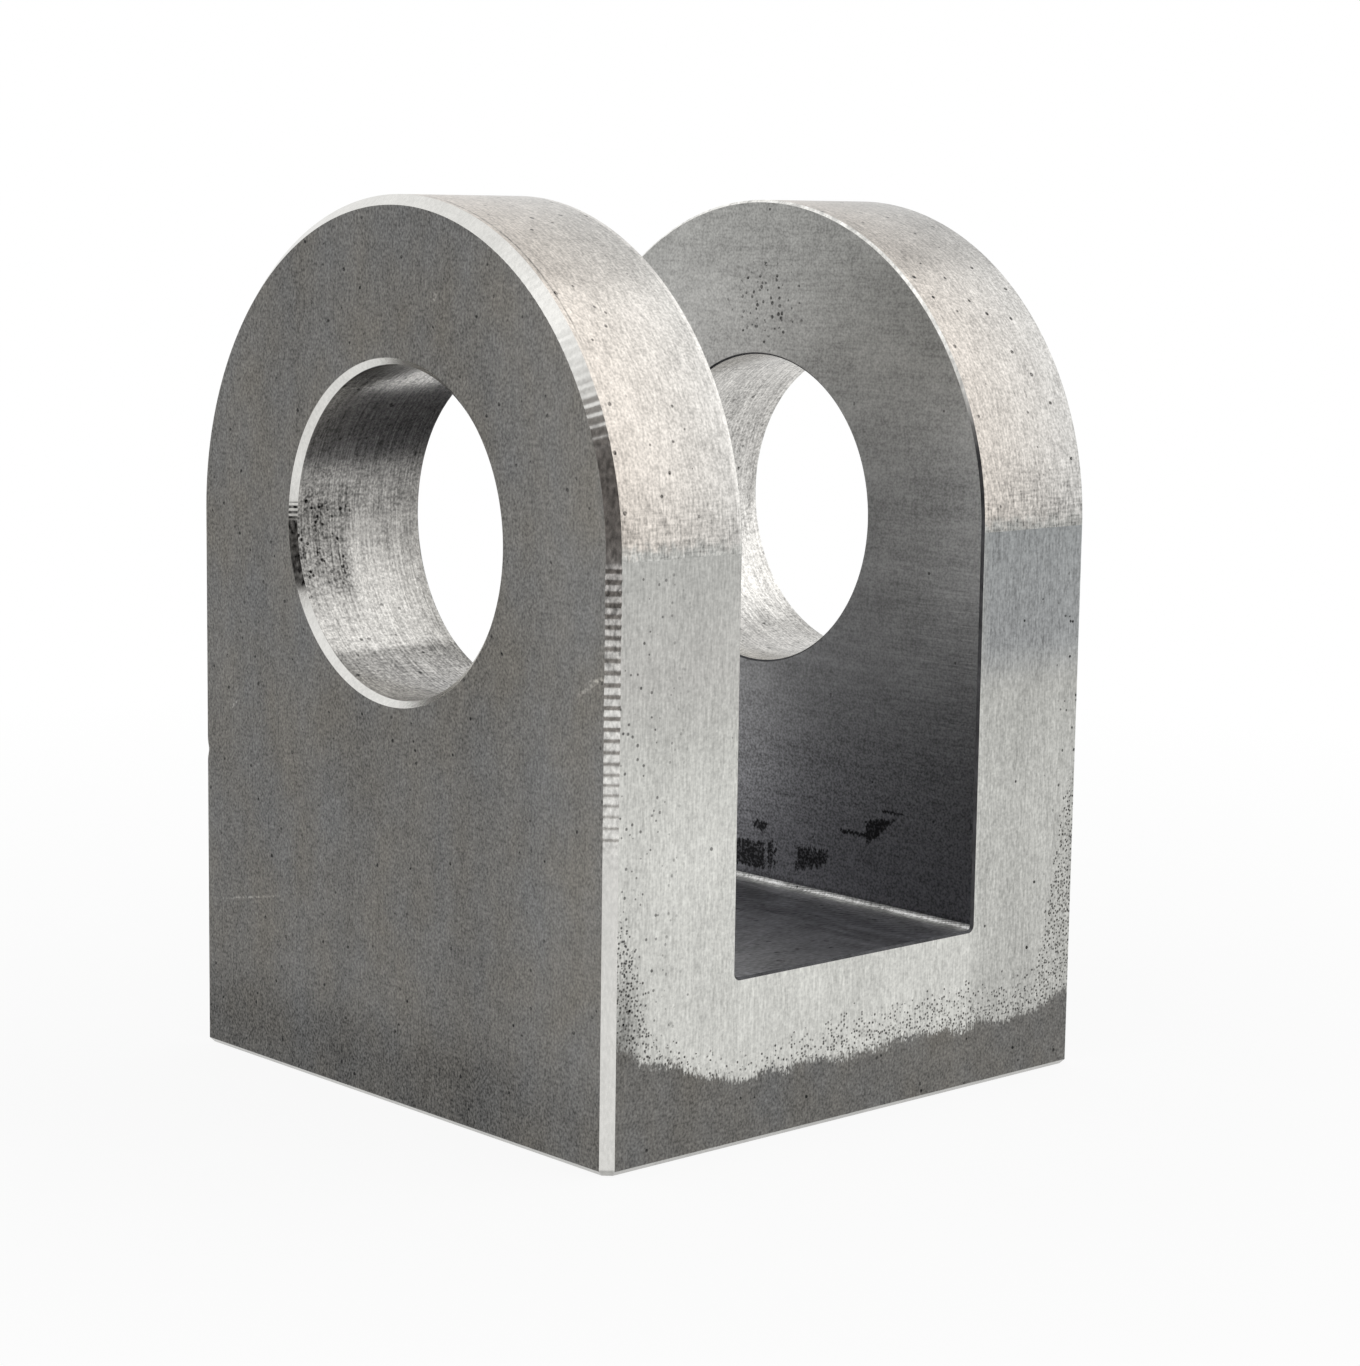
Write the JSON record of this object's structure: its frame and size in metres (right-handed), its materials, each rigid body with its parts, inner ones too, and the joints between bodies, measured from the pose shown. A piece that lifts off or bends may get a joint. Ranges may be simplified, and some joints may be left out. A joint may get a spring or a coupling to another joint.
{
  "type": "weld-on clevis",
  "caption": "Square steel block with two round-topped ears, a slot for a rod eye, a cross bore for the pin and a flat base to weld down.",
  "frame": {"origin": "centre of the square weld face", "axes": "+Z out of the weld face towards the round crown, X along the pin bore, Y along the slot"},
  "size_m": [0.0508, 0.0508, 0.0698],
  "materials": {
    "steel": "bare machined mild steel bar: dark rolled skin on the outer faces, belt-ground flanks and crown, milled slot, drilled and bored pin hole"
  },
  "bodies": {
    "root": {"clevis": "steel"}
  },
  "joints": []
}
